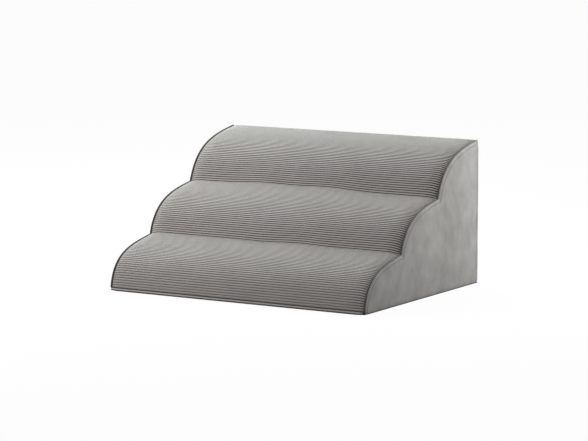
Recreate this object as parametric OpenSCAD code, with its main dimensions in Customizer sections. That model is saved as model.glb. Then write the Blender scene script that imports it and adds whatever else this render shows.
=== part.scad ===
// Foam stairs for a pet: three crowned steps of layered foam in a sewn cover.
// Millimetres, +X across the width, +Y from the lowest step to the back, +Z up.
// The origin is on the floor, in the middle of the width and of the depth.

/* [Steps] */
// Width over the two side panels
body_w = 704; // [400:1:1000]
// Depth of the lowest step, from its nose to the crease behind it
lower_run = 172; // [150:1:260]
// Depth of the middle step, from crease to crease
middle_run = 180; // [150:1:260]
// Depth of the upper step, from the crease to the back of the stairs
upper_run = 203; // [170:1:300]
// Height of the first crease above the floor
lower_rise = 117; // [90:1:150]
// Height of the second crease above the first
middle_rise = 110; // [90:1:150]
// Height of the top rear edge above the second crease
upper_rise = 123; // [90:1:150]

/* [Step curve] */
// Backward lean of the lowest nose at its foot, in degrees
lower_lean = 8; // [4:1:16]
// Backward lean of the two upper noses at their foot, in degrees
upper_lean = 19; // [10:1:26]
// Upward slope of a tread where it meets the next nose, in degrees
tread_slope = 9; // [4:1:14]
// How much of the rise the straight pull of the nose reaches
nose_share = 0.74; // [0.6:0.01:0.85]
// How much of the run the straight pull of the tread reaches
tread_share = 0.55; // [0.4:0.01:0.65]
// How far the toe of the lowest step is drawn in under its nose
toe_in = 4.5; // [2:0.5:8]

/* [Foam] */
// Thickness of the soft topper at the back of each tread
topper_t = 35; // [25:1:50]
// Thickness of the glue line between two pieces of foam
glue_t = 0.1; // [0.1:0.1:0.4]

/* [Cover] */
// Thickness of the corded fabric on the steps, with its pile
step_fabric_t = 2.5; // [1.5:0.1:3.5]
// Thickness of the plush side panels
side_fabric_t = 2; // [1:0.1:3]
// Thickness of the plush rear panels
rear_fabric_t = 2; // [1.5:0.1:3]
// Thickness of the anti-slip base panel
base_t = 2; // [1:0.1:3]
// Top of the plain band under the front piping, above the floor
band_top = 6; // [5:0.5:10]
// Thickness of the inner liner
liner_t = 0.4; // [0.3:0.1:0.8]
// Width of the liner's hem under the foam
liner_hem = 60; // [30:5:100]
// Width over which a step rolls down to its side seam
seam_roll = 12; // [6:1:20]
// Depth of that roll at the seam
seam_drop = 2.2; // [0.5:0.1:3]
// How far the edge of a side panel lies below the crown of the steps
side_inset = 1.2; // [0.6:0.1:2]

/* [Piping] */
// Diameter of the piping along the side seams
side_cord_d = 4.4; // [2:0.1:6]
// Depth of the middle of that piping below the crown of the steps
side_cord_sink = 2.3; // [1.6:0.1:3]
// Diameter of the piping along the front seam
front_cord_d = 2.6; // [2:0.1:3.5]

/* [Zip] */
// Height of the zip above the floor
zip_z = 45; // [35:1:60]
// Plain tape between the side seam and each end of the chain
zip_end = 18; // [12:1:40]
// Width of one zip tape
tape_w = 15; // [12:0.5:20]
// Thickness of a zip tape
tape_t = 0.6; // [0.4:0.1:0.8]
// Width of one row of coil
coil_w = 2.4; // [2:0.1:3]
// Thickness of a row of coil on its tape
coil_t = 1.7; // [1.3:0.1:2]
// Space between the two rows, where the slider's post runs
chain_gap = 1.4; // [1.2:0.1:1.8]
// Length of a stop on the chain
stop_l = 4; // [3:0.5:6]
// Height of a stop above the tape
stop_t = 2; // [1.5:0.1:2.4]

/* [Slider] */
// Length of the slider along the chain
slider_l = 11.5; // [10:0.5:14]
// Thickness of each slider plate
plate_t = 1.2; // [0.9:0.1:1.5]
// Thickness of the lips at the sides of the slider
lip_t = 1; // [0.8:0.1:1.4]
// Length of the post between the slider's plates
post_l = 3; // [2:0.5:4]
// Length of the crown that holds the pull tab
crown_l = 7; // [6:0.5:8]
// Width of the crown
crown_w = 2.2; // [1.6:0.1:2.6]
// Length of each foot of the crown
crown_foot = 1.4; // [1:0.1:1.6]
// Thickness of the crown's roof
crown_roof = 0.9; // [0.7:0.1:1.3]
// Length of the pull tab from its bar
tab_l = 22; // [18:1:30]
// Width of the pull tab
tab_w = 6.5; // [6:0.5:9]
// Thickness of the pull tab
tab_t = 1.2; // [0.8:0.1:1.3]
// Diameter of the bar at the pull tab's eye
tab_bar_d = 1.4; // [1.4:0.1:1.8]
// Diameter of the hole at the pull tab's free end
tab_hole_d = 3; // [2:0.5:4]

/* [Fits] */
// Clearance between pieces that slide or turn on each other
slide_clear = 0.3; // [0.2:0.05:0.4]
// Space beside the slider in the zip's opening
zip_margin = 0.8; // [0.5:0.1:1.5]

/* [Hidden] */
lobe_steps = 14;  // straight pieces in the curve of one step
roll_turn = 30;  // degrees between the sections of a seam's roll
cord_sides = 8;  // sides of a piping cord
overrun = 1;  // how far a cut runs past the face that it opens
round_fn = 48;

body_d = lower_run + middle_run + upper_run;
body_h = lower_rise + middle_rise + upper_rise;
front_y = -body_d / 2;
rear_y = body_d / 2;
crease_1 = [front_y + lower_run, lower_rise];
crease_2 = crease_1 + [middle_run, middle_rise];
top_edge = [rear_y, body_h];
toe = [front_y + toe_in, base_t];
nose_foot = [front_y, band_top + front_cord_d];

seam_x = body_w / 2 - side_fabric_t;  // inner face of a side panel
panel_x = seam_x - side_cord_d;  // edge of the step fabric, beside the piping
liner_rear_y = rear_y - rear_fabric_t;
foam_inset = step_fabric_t + liner_t;
foam_x = seam_x - liner_t;
foam_y = liner_rear_y - liner_t;
foam_z = base_t + liner_t;

chain_l = 2 * (seam_x - zip_end);
chain_w = chain_gap + 2 * coil_w;
slider_w = chain_w + 2 * (slide_clear + lip_t);
opening_w = slider_w + 2 * zip_margin;
lower_plate_y = liner_rear_y - slide_clear;  // outer face of the hidden plate
upper_plate_y = liner_rear_y + tape_t + coil_t + slide_clear;  // its inner face
channel_y = lower_plate_y - plate_t - slide_clear;
slider_x = chain_l / 2 - slider_l / 2 - slide_clear;
pivot_y = upper_plate_y + plate_t + slide_clear + tab_bar_d / 2;
crown_h = tab_bar_d + 2 * slide_clear + crown_roof;
eye_l = norm([crown_l / 2, crown_h]) + slide_clear;

// A point of the curve that leaves p0 towards p1 and arrives at p3 from p2
function curve(p0, p1, p2, p3, t) =
    pow(1 - t, 3) * p0 + 3 * pow(1 - t, 2) * t * p1
    + 3 * (1 - t) * pow(t, 2) * p2 + pow(t, 3) * p3;

// One crowned step from the foot of its nose to the crease behind it
function lobe(foot, crease, lean) =
    let (
        rise = crease.y - foot.y,
        run = crease.x - foot.x,
        p1 = foot + nose_share * rise * [sin(lean), cos(lean)],
        p2 = crease - tread_share * run * [cos(tread_slope), sin(tread_slope)]
    )
    [for (i = [0:lobe_steps - 1]) curve(foot, p1, p2, crease, i / lobe_steps)];

// The outside of the cover seen from the side, as points of Y and Z from the toe
// up over the three steps to the top rear edge
outline = concat(
    [toe],
    lobe(nose_foot, crease_1, lower_lean),
    lobe(crease_1, crease_2, upper_lean),
    lobe(crease_2, top_edge, upper_lean),
    [top_edge]
);
last = len(outline) - 1;
// Where each step starts and ends in the outline
step_ends = [for (i = [0:3]) 1 + i * lobe_steps];

function unit(v) = v / norm(v);
// The way into the stairs from the stretch between two points of the outline
function inward(i) = let (u = unit(outline[i + 1] - outline[i])) [u.y, -u.x];
// How far a corner of the outline moves for each millimetre of inset
function corner(i) =
    let (a = inward(i - 1), b = inward(i)) (a + b) / (1 + a * b);
// Slides a point along a direction until one of its coordinates has a value
function slid(p, u, axis, value) = p + u * (value - p[axis]) / u[axis];

// The outline moved inwards by d, started at the height z0 and ended at y1
function inset(d, z0, y1) = concat(
    [slid(outline[0] + d * inward(0), outline[1] - outline[0], 1, z0)],
    [for (i = [1:last - 1]) outline[i] + d * corner(i)],
    [slid(outline[last] + d * inward(last - 1), outline[last] - outline[last - 1], 0, y1)]
);

foam_line = inset(foam_inset, foam_z, foam_y);
foam_crease_1 = foam_line[step_ends[1]];
foam_crease_2 = foam_line[step_ends[2]];
slab_tops = [
    foam_crease_1.y - topper_t,
    foam_crease_2.y - topper_t,
    foam_line[last].y - topper_t
];

// Sections across the width, each with its X and its drop below the crown
roll = [for (a = [0:roll_turn:90]) [seam_roll * (1 - cos(a)), seam_drop * (1 - sin(a))]];
sections = concat(
    [for (r = roll) [-panel_x + r.x, r.y]],
    [for (i = [len(roll) - 1:-1:0]) [panel_x - roll[i].x, roll[i].y]]
);
function sections_to(x) = concat([[-x, seam_drop]], sections, [[x, seam_drop]]);

// A closed solid through rings of points; cap holds the triangles that fill a ring
module loft(rings, cap) {
    n = len(rings[0]);
    end = len(rings) - 1;
    points = [for (ring = rings) for (p = ring) p];
    walls = [
        for (k = [0:end - 1]) for (i = [0:n - 1])
            let (j = (i + 1) % n, a = k * n, b = (k + 1) * n)
            each [[a + i, a + j, b + i], [a + j, b + j, b + i]]
    ];
    first = [for (c = cap) [c[0], c[2], c[1]]];
    final = [for (c = cap) [for (i = c) end * n + i]];
    polyhedron(points = points, faces = concat(walls, first, final), convexity = 8);
}

// The inside of the cover, d below its outside, out to x, up from z0, back to y1
module form(d, x, z0, y1) {
    rings = [
        for (s = sections_to(x))
            [for (p = concat([[y1, z0]], inset(d + s[1], z0, y1))) [s[0], p.x, p.y]]
    ];
    loft(rings, [for (i = [1:last]) [0, i, i + 1]]);
}

// The fabric over one step, from the foot of its nose to the crease behind it
module step_panel(index) {
    from = step_ends[index];
    to = step_ends[index + 1];
    count = to - from + 1;
    rings = [
        for (s = sections)
            let (
                outer = inset(s[1], base_t, rear_y),
                inner = inset(s[1] + step_fabric_t, base_t, rear_y)
            )
            concat(
                [for (i = [from:to]) [s[0], outer[i].x, outer[i].y]],
                [for (i = [to:-1:from]) [s[0], inner[i].x, inner[i].y]]
            )
    ];
    cap = [
        for (i = [0:count - 2])
            let (j = 2 * count - 1 - i)
            each [[i, i + 1, j], [i + 1, j - 1, j]]
    ];
    color("#a3a19c") loft(rings, cap);
}

// A cord along the side seam; side is -1 for the left and 1 for the right
module side_piping(side) {
    r = side_cord_d / 2;
    turns = [for (k = [0:cord_sides - 1]) 360 * k / cord_sides];
    lines = [for (a = turns) inset(side_cord_sink + r * cos(a), base_t, rear_y)];
    rings = [
        for (i = [0:last])
            [
                for (k = [0:cord_sides - 1])
                    [
                        side * (seam_x - r) + r * sin(turns[k]),
                        lines[k][i].x,
                        lines[k][i].y
                    ]
            ]
    ];
    color("#3a3a38") loft(rings, [for (k = [1:cord_sides - 2]) [0, k, k + 1]]);
}

// A box between two corners
module block(from, to) {
    translate(from) cube(to - from);
}

// The space behind the zip where the slider's hidden plate runs
module slider_channel(grow) {
    half = opening_w / 2 + grow;
    block(
        [-foam_x - overrun, channel_y - grow, zip_z - half],
        [foam_x + overrun, rear_y + overrun, zip_z + half]
    );
}

module foam_body() {
    difference() {
        form(foam_inset, foam_x, foam_z, foam_y);
        slider_channel(liner_t);
    }
}

// The foam between the glue lines at y0 and y1 and at z0 and z1
module foam_part(y0, y1, z0, z1) {
    glue = glue_t / 2;
    intersection() {
        foam_body();
        block(
            [-body_w / 2, y0 + glue, z0 + glue],
            [body_w / 2, y1 - glue, z1 - glue]
        );
    }
}

module lower_slab() {
    color("#d9d3bd") foam_part(front_y, rear_y, 0, slab_tops[0]);
}

module middle_slab() {
    color("#d9d3bd") foam_part(foam_crease_1.x, rear_y, slab_tops[0], slab_tops[1]);
}

module upper_slab() {
    color("#d9d3bd") foam_part(foam_crease_2.x, rear_y, slab_tops[1], slab_tops[2]);
}

module lower_topper() {
    color("#efe9d6") foam_part(front_y, foam_crease_1.x, slab_tops[0], body_h);
}

module middle_topper() {
    color("#efe9d6")
        foam_part(foam_crease_1.x, foam_crease_2.x, slab_tops[1], body_h);
}

module upper_topper() {
    color("#efe9d6") foam_part(foam_crease_2.x, rear_y, slab_tops[2], body_h);
}

// A thin bag round the foam, folded under it and open in the middle of the bottom
module inner_liner() {
    window_x = foam_x - liner_hem;
    color("#e8ebee") difference() {
        form(step_fabric_t, seam_x, base_t, liner_rear_y);
        foam_body();
        slider_channel(0);
        block(
            [-window_x, front_y + liner_hem, 0],
            [window_x, foam_y - liner_hem, foam_z + overrun]
        );
    }
}

// A plush side panel; side is -1 for the left and 1 for the right
module side_panel(side) {
    edge = concat([[rear_y, base_t]], inset(side_inset, base_t, rear_y));
    color("#a5a5a1")
        translate([side > 0 ? seam_x : -seam_x - side_fabric_t, 0, 0])
        rotate([90, 0, 90])
        linear_extrude(side_fabric_t) polygon(edge);
}

// The rear fabric between two heights, as far up as the underside of the top step
module rear_panel(z0, z1) {
    intersection() {
        form(step_fabric_t, seam_x, base_t, rear_y);
        block([-seam_x, liner_rear_y, z0], [seam_x, rear_y, z1]);
    }
}

// The room that a zip tape takes up, seen from the side; side is 1 above the zip
module tape_space(side, from) {
    reach = chain_gap / 2 + tape_w;
    block(
        [-seam_x, from, side > 0 ? zip_z : zip_z - reach],
        [seam_x, liner_rear_y + tape_t, side > 0 ? zip_z + reach : zip_z]
    );
}

module rear_panel_upper() {
    color("#a5a5a1") difference() {
        rear_panel(zip_z + opening_w / 2, body_h);
        tape_space(1, liner_rear_y - overrun);
    }
}

module rear_panel_lower() {
    color("#a5a5a1") difference() {
        rear_panel(0, zip_z - opening_w / 2);
        tape_space(-1, liner_rear_y - overrun);
    }
}

module base_panel() {
    color("#3d3d3f")
        block([-body_w / 2, toe.x, 0], [body_w / 2, rear_y, base_t]);
}

// The plain band that closes the cover between the base and the front piping
module front_band() {
    outer = [toe, slid(toe, nose_foot - toe, 1, band_top)];
    liner_line = inset(step_fabric_t, base_t, rear_y);
    back = [liner_line[0], slid(liner_line[0], liner_line[1] - liner_line[0], 1, band_top)];
    color("#a5a5a1")
        translate([-panel_x, 0, 0])
        rotate([90, 0, 90])
        linear_extrude(2 * panel_x)
        polygon([outer[0], outer[1], back[1], back[0]]);
}

module piping_front() {
    r = front_cord_d / 2;
    color("#3a3a38")
        translate([-panel_x, front_y + r, band_top + r])
        rotate([0, 90, 0])
        cylinder(r = r, h = 2 * panel_x, $fn = round_fn);
}

// One zip tape along the whole width; side is 1 above the zip and -1 below it
module zip_tape(side) {
    near = chain_gap / 2;
    z0 = side > 0 ? zip_z + near : zip_z - near - tape_w;
    color("#4a4a4c")
        block([-seam_x, liner_rear_y, z0], [seam_x, liner_rear_y + tape_t, z0 + tape_w]);
}

// Something that lies on a tape in line with the coil, from x0 to x1
module on_tape(side, x0, x1, height) {
    near = chain_gap / 2;
    z0 = side > 0 ? zip_z + near : zip_z - near - coil_w;
    face = liner_rear_y + tape_t;
    block([x0, face, z0], [x1, face + height, z0 + coil_w]);
}

module zip_coil(side) {
    color("#2f2f31") on_tape(side, -chain_l / 2, chain_l / 2, coil_t);
}

module zip_top_stops() {
    color("#b8b8ba")
        for (side = [-1, 1])
            on_tape(side, chain_l / 2, chain_l / 2 + stop_l, stop_t);
}

// One clamp across both rows at the end where the zip starts
module zip_bottom_stop() {
    face = liner_rear_y + tape_t;
    color("#b8b8ba")
        block(
            [-chain_l / 2 - stop_l, face, zip_z - chain_w / 2],
            [-chain_l / 2, face + stop_t, zip_z + chain_w / 2]
        );
}

// A slider plate with round ends, between two places in depth
module slider_plate(y0, y1) {
    straight = slider_l - slider_w / 2;
    translate([slider_x, y1, zip_z]) rotate([90, 0, 0])
        linear_extrude(y1 - y0)
        union() {
            translate([-slider_l / 2, -slider_w / 2]) square([straight, slider_w]);
            intersection() {
                translate([straight - slider_l / 2, 0])
                    circle(d = slider_w, $fn = round_fn);
                translate([-slider_l / 2, -slider_w / 2]) square([slider_l, slider_w]);
            }
        }
}

module zip_slider() {
    lip_face = liner_rear_y + tape_t + slide_clear;
    lip_z = chain_w / 2 + slide_clear;
    lip_l = slider_l - slider_w / 2;
    top = upper_plate_y + plate_t;
    post_w = chain_gap - 2 * slide_clear;
    color("#8d9094") {
        slider_plate(upper_plate_y, top);
        slider_plate(lower_plate_y - plate_t, lower_plate_y);
        // Lips that keep the two rows of coil side by side
        for (z0 = [-lip_z - lip_t, lip_z])
            block(
                [slider_x - slider_l / 2, lip_face, zip_z + z0],
                [slider_x - slider_l / 2 + lip_l, top, zip_z + z0 + lip_t]
            );
        // The post that parts the rows at the leading end
        block(
            [slider_x + slider_l / 2 - slider_w / 4 - post_l, lower_plate_y - plate_t,
                zip_z - post_w / 2],
            [slider_x + slider_l / 2 - slider_w / 4, top, zip_z + post_w / 2]
        );
        // The crown that the pull tab hangs in
        difference() {
            block(
                [slider_x - crown_l / 2, top - plate_t, zip_z - crown_w / 2],
                [slider_x + crown_l / 2, top + crown_h, zip_z + crown_w / 2]
            );
            block(
                [slider_x - crown_l / 2 + crown_foot, top, zip_z - crown_w],
                [slider_x + crown_l / 2 - crown_foot, top + crown_h - crown_roof,
                    zip_z + crown_w]
            );
        }
    }
}

// The pull tab, lying back along the closed chain
module pull_tab() {
    eye_w = crown_w + 2 * slide_clear;
    color("#8d9094") translate([slider_x, pivot_y, zip_z]) {
        cylinder(d = tab_bar_d, h = tab_w, center = true, $fn = round_fn);
        difference() {
            union() {
                block([tab_w / 2 - tab_l, -tab_t / 2, -tab_w / 2], [0, tab_t / 2, tab_w / 2]);
                translate([tab_w / 2 - tab_l, 0, 0]) rotate([90, 0, 0])
                    cylinder(d = tab_w, h = tab_t, center = true, $fn = round_fn);
            }
            block([-eye_l, -tab_t, -eye_w / 2], [overrun, tab_t, eye_w / 2]);
            translate([tab_w / 2 - tab_l, 0, 0]) rotate([90, 0, 0])
                cylinder(d = tab_hole_d, h = 2 * tab_t, center = true, $fn = round_fn);
        }
    }
}

lower_slab();
middle_slab();
upper_slab();
lower_topper();
middle_topper();
upper_topper();
inner_liner();
step_panel(0);  // lower_step_panel
step_panel(1);  // middle_step_panel
step_panel(2);  // upper_step_panel
side_panel(-1);  // side_panel_left
side_panel(1);  // side_panel_right
rear_panel_upper();
rear_panel_lower();
base_panel();
front_band();
side_piping(-1);  // piping_left
side_piping(1);  // piping_right
piping_front();
zip_tape(1);  // zip_tape_upper
zip_tape(-1);  // zip_tape_lower
zip_coil(1);  // zip_coil_upper
zip_coil(-1);  // zip_coil_lower
zip_top_stops();
zip_bottom_stop();
zip_slider();
pull_tab();
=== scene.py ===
# %% [markdown]
# # Foam pet stairs in a corduroy cover
#
# Three crowned steps of foam wear a sewn cover: grey corduroy over the steps, short plush on the sides and the back,
# piping in the seams, painted dark for the shade of the seam gaps, a dotted base that grips the floor, and a zip at
# the
# foot of the back. This file dresses the solids of the imported model piece by piece. It teaches one idea above all:
# cloth is cut flat and then laid on a form, so nearly every piece here starts as a flat grid whose points are moved
# onto the stairs.

from bisect import bisect_right
from math import cos, exp, pi, radians, sin, sqrt, tau

import bmesh
import bpy
from mathutils import Matrix, Vector, geometry, kdtree, noise
from mathutils.bvhtree import BVHTree


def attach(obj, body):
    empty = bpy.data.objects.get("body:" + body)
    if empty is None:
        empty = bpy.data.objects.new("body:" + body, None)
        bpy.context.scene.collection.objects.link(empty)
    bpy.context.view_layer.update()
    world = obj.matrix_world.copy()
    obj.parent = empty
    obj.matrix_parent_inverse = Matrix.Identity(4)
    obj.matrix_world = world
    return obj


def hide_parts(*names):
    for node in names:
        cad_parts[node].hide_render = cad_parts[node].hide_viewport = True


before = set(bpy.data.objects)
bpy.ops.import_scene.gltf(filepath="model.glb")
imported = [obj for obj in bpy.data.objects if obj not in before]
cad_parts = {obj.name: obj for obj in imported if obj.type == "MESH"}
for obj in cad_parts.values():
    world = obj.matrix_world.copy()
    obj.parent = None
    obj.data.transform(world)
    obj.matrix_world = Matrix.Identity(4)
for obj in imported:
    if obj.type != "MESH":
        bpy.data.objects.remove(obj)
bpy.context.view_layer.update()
MM = 0.001


def put(name, data):
    """Puts a mesh, a lamp or a camera into the scene."""
    made = bpy.data.objects.new(name, data)
    bpy.context.scene.collection.objects.link(made)
    return made


# %% [markdown]
# ## Camera
#
# A long lens from far away keeps upright edges nearly parallel, as in a catalogue picture. The place of the camera
# was worked out from the corners of the stairs, so it is written as a point to look at and a direction back from it.

# %% Camera
view_point = Vector((-0.00364, 0.00241, 0.15997))
view_back = Vector((0.51014, -0.84934, 0.13557)).normalized()
VIEW_DISTANCE = 6.914
camera = put("camera", bpy.data.cameras.new("camera"))
camera.data.sensor_fit = "HORIZONTAL"
camera.data.sensor_width = 36
camera.data.lens = 175.978
camera.location = view_point + VIEW_DISTANCE * view_back
camera.rotation_euler = view_back.to_track_quat("Z", "Y").to_euler()
bpy.context.scene.camera = camera

# %% [markdown]
# ## The line of the steps
#
# Seen from the side, the cover's outside is three curves, one for each step. Each leaves the foot of a nose nearly
# upright and arrives almost level in the crease behind it. A Bezier curve with one pull at each end gives that shape.
# Everything sewn on the steps is placed by how far along this line it lies, which is what a tape measure would say.

# %% The line of the steps
FEET = [Vector((0, -277.5, 8.6)), Vector((0, -105.5, 117)), Vector((0, 74.5, 227)), Vector((0, 277.5, 350))]
LEANS = [8, 19, 19]  # degrees that a nose leans back at its foot
TREAD_SLOPE = 9  # degrees that a tread rises towards its crease
NOSE_PULL, TREAD_PULL = 0.74, 0.55  # shares of the rise and of the run
CURVE_POINTS = 400
TOE = Vector((0, -273, 2))
BASE_T = 2 * MM


def step_curve(index):
    foot, crease = FEET[index] * MM, FEET[index + 1] * MM
    lean, slope = radians(LEANS[index]), radians(TREAD_SLOPE)
    nose = foot + NOSE_PULL * (crease.z - foot.z) * Vector((0, sin(lean), cos(lean)))
    tread = crease - TREAD_PULL * (crease.y - foot.y) * Vector((0, cos(slope), sin(slope)))
    return geometry.interpolate_bezier(foot, nose, tread, crease, CURVE_POINTS)


class Line:
    """A line in the side view, read by the length along it."""

    def __init__(self, points):
        self.points, self.marks = points, [0.0]
        for a, b in zip(points, points[1:]):
            self.marks.append(self.marks[-1] + (b - a).length)
        self.length = self.marks[-1]

    def at(self, s):
        """The point at that length, and the way out of the cover there."""
        k = min(max(bisect_right(self.marks, s) - 1, 0), len(self.points) - 2)
        way = (self.points[k + 1] - self.points[k]).normalized()
        return self.points[k] + way * (s - self.marks[k]), Vector((0, -way.z, way.y))


steps = [Line(step_curve(index)) for index in range(3)]
whole = Line([TOE * MM] + [p for step in steps for p in step.points[:-1]] + [FEET[3] * MM])
toe_l = (FEET[0] - TOE).length * MM
seam_marks = [0, toe_l, toe_l + steps[0].length, toe_l + steps[0].length + steps[1].length, whole.length]
print("cloth over each step, mm:", [round(step.length / MM, 1) for step in steps])

MITRE = 0.2 * MM  # a corner is read this far before and behind it
LINE_END = 0.3 * MM  # and an end this far in


def outward(s):
    """The way out of the cover, mitred where two curves meet, so that parallel lines stay parallel."""
    s = min(max(s, LINE_END), whole.length - LINE_END)
    before, after = whole.at(s - MITRE)[1], whole.at(s + MITRE)[1]
    return (before + after) / (1 + before.dot(after))


def ease(share):
    """From 0 to 1, steep at first and level at the end, like cloth that rolls up from a seam."""
    return 1 - (1 - min(1, max(0, share))) ** 2


# %% [markdown]
# ## What soft foam does to the line
#
# The cover is cut to the line above, but it doesn't lie in the creases: taut cloth bridges a hollow, so away from the
# side seams each crease stands some millimetres higher, and not evenly. The seams give too. Where the foam pulls
# hardest, a side seam sits two millimetres further in. Both are small, and without them the stairs look carved.

# %% Slack in the creases and in the seams
SEAM_X = 350 * MM
BRIDGE_EDGE = 38 * MM
FROM_CREASE, TO_CREASE = 0.55, 0.58  # shares of a step that the creases in front of it and behind it lift
PULL_BLEND = 40 * MM

# in mm: how much a crease rises all along, then its swells, each with a height, a middle and a reach
BRIDGE = {1: (5.4, (2.2, 75, 52), (-1.2, -35, 45)), 2: (4.4, (5.6, -125, 90), (6.0, 45, 85))}

# in mm: how much further in the left and the right seam sit, step by step
SEAM_PULL = {-1: (2.4, 0, 0.6), 1: (-0.3, 1.8, 1.9)}


def bridge(crease, x):
    """How much higher a crease stands at that place across the width; the first and last line aren't creases."""
    if crease not in BRIDGE:
        return 0
    rise, *swells = BRIDGE[crease]
    for height, middle, reach in swells:
        rise += height * exp(-(((x / MM - middle) / reach) ** 2))
    return rise * MM * ease((SEAM_X - abs(x)) / BRIDGE_EDGE)


def slack(index, x, s):
    """The rise of the cloth on one step: most in the creases at its two ends, none on its crown."""
    share = s / steps[index].length
    low, high = max(0, 1 - share / FROM_CREASE), max(0, 1 - (1 - share) / TO_CREASE)
    return bridge(index, x) * low**2 + bridge(index + 1, x) * high**2


def seam_pull(side, s):
    """How far in a side seam sits at a length along the whole line, blended over the creases."""
    low, middle, high = SEAM_PULL[side]
    first, second = [min(1, max(0, 0.5 + (s - mark) / PULL_BLEND)) for mark in seam_marks[2:4]]
    return (low + (middle - low) * first + (high - middle) * second) * MM


# %% [markdown]
# ## Tools of the trade
#
# A few helpers carry most of the work. One makes a flat grid and moves each of its points to its place. One gives
# such a grid a back, so that it is a real sheet with a thickness. Two close a mesh, and the last hangs the finished
# mesh on its body and hides the solid it stands for.

# %% Places along a line
def mm(*lengths):
    return [length * MM for length in lengths]


def spread(low, high, count):
    return [low + (high - low) * k / count for k in range(count + 1)]


def between(start, end, first, last, count):
    """Places from start to end: at given distances from both ends, and evenly in between."""
    way = 1 if end > start else -1
    middle = spread(start + way * first[-1], end - way * last[-1], count)[1:-1]
    return [start + way * m for m in first] + middle + [end - way * m for m in reversed(last)]


def stations(marks, pitch):
    """Lengths about a pitch apart, with one on every mark but the last."""
    found = []
    for start, end in zip(marks, marks[1:]):
        found += spread(start, end, max(2, round((end - start) / pitch)))[:-1]
    return found


# %% A grid laid on a form
def laid_grid(across, along, place):
    """A grid whose vertex (i, j) goes to place(across[i], along[j]); the cloth's own measures become its UV map."""
    work = bmesh.new()
    column, row = work.verts.layers.int.new("column"), work.verts.layers.int.new("row")
    columns, rows = len(across) - 1, len(along) - 1
    bmesh.ops.create_grid(work, x_segments=columns, y_segments=rows, size=0.5)
    for vert in work.verts:
        vert[column] = round((vert.co.x + 0.5) * columns)
        vert[row] = round((vert.co.y + 0.5) * rows)
        vert.co = place(across[vert[column]], along[vert[row]])
    cloth_uv = work.loops.layers.uv.new("cloth")
    for face in work.faces:
        for loop in face.loops:
            loop[cloth_uv].uv = (across[loop.vert[column]], along[loop.vert[row]])
    return work


def lined_grid(across, along, place):
    """The same with a back: place(u, v, False) gives the face that shows and place(u, v, True) the face behind it."""
    work = laid_grid(across, along, lambda u, v: place(u, v, False))
    column, row = work.verts.layers.int["column"], work.verts.layers.int["row"]
    back = bmesh.ops.extrude_face_region(work, geom=work.faces[:])["geom"]
    for vert in back:
        if isinstance(vert, bmesh.types.BMVert):
            vert.co = place(across[vert[column]], along[vert[row]], True)
    return work


# %% Close a mesh
WELD = 0.001 * MM


def closed(work):
    """Welds points that meet, and turns the faces outwards."""
    bmesh.ops.remove_doubles(work, verts=work.verts[:], dist=WELD)
    bmesh.ops.recalc_face_normals(work, faces=work.faces[:])
    if work.calc_volume(signed=True) < 0:
        bmesh.ops.reverse_faces(work, faces=work.faces[:])
    return work


def capped(work):
    """The same for a mesh with open ends, which get a face each."""
    bmesh.ops.remove_doubles(work, verts=work.verts[:], dist=WELD)
    bmesh.ops.holes_fill(work, edges=[e for e in work.edges if e.is_boundary], sides=0)
    return closed(work)


# %% Hang a finished mesh on its body
def mesh_from(work, name):
    mesh = bpy.data.meshes.new(name)
    work.to_mesh(mesh)
    work.free()
    return mesh


def hang(work, name, material, slot, nodes=(), body="stairs", sharp=None):
    mesh = mesh_from(work, name)
    mesh.shade_smooth()
    if sharp:
        mesh.set_sharp_from_angle(angle=radians(sharp))
    mesh.materials.append(material)
    made = put(name, mesh)
    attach(made, body)
    if nodes:
        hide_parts(*nodes)
    print(name, len(mesh.vertices), "vertices")
    return made


# %% Add a node to a material
COLOUR_A, COLOUR_B, COLOUR_OUT = 6, 7, 2  # the Mix node's sockets when it mixes colours


def srgb(code):
    """An sRGB hex value as the linear colour that the shaders count in."""
    channels = [int(code[k : k + 2], 16) / 255 for k in (1, 3, 5)]
    return (*[c / 12.92 if c <= 0.04045 else ((c + 0.055) / 1.055) ** 2.4 for c in channels], 1)


def add(material, kind, inputs, **settings):
    """Adds a node and gives its outputs; each input is a value, a hex colour or the output that feeds it."""
    node = material.node_tree.nodes.new("ShaderNode" + kind)
    for name, value in settings.items():
        setattr(node, name, value)
    for socket, value in inputs.items():
        if isinstance(value, bpy.types.NodeSocket):
            material.node_tree.links.new(value, node.inputs[socket])
        else:
            node.inputs[socket].default_value = srgb(value) if isinstance(value, str) else value
    return node.outputs


def new_material(name):
    """An empty material, and the coordinates on the cloth and on the object."""
    material = bpy.data.materials.new(name)
    material.use_nodes = True
    material.node_tree.nodes.clear()
    return material, add(material, "TexCoord", {})


def finish(material, colour, roughness, bump=None, depth=0.2 * MM, strength=0.5, **shader):
    """Joins colour, roughness and bump to the shader and the shader to the output."""
    inputs = {"Base Color": colour, "Roughness": roughness}
    if bump is not None:
        inputs["Normal"] = add(material, "Bump", {"Height": bump, "Distance": depth, "Strength": strength})["Normal"]
    inputs.update({name.replace("_", " "): value for name, value in shader.items()})
    surface = add(material, "BsdfPrincipled", inputs)["BSDF"]
    add(material, "OutputMaterial", {"Surface": surface})
    return material


def speckled(name, scale, detail, dark, light, roughness, *bump, **shader):
    """A plain material whose colour, and roughness if it is given as a pair, changes from speck to speck."""
    material, where = new_material(name)
    specks = add(material, "TexNoise", {"Vector": where["Object"], "Scale": scale, "Detail": detail})["Fac"]
    colour = add(material, "Mix", {0: specks, COLOUR_A: dark, COLOUR_B: light}, data_type="RGBA")[COLOUR_OUT]
    if isinstance(roughness, tuple):
        roughness = add(material, "MapRange", {"Value": specks, 3: roughness[0], 4: roughness[1]})["Result"]
    return finish(material, colour, roughness, specks if bump else None, *bump, **shader)
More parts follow.
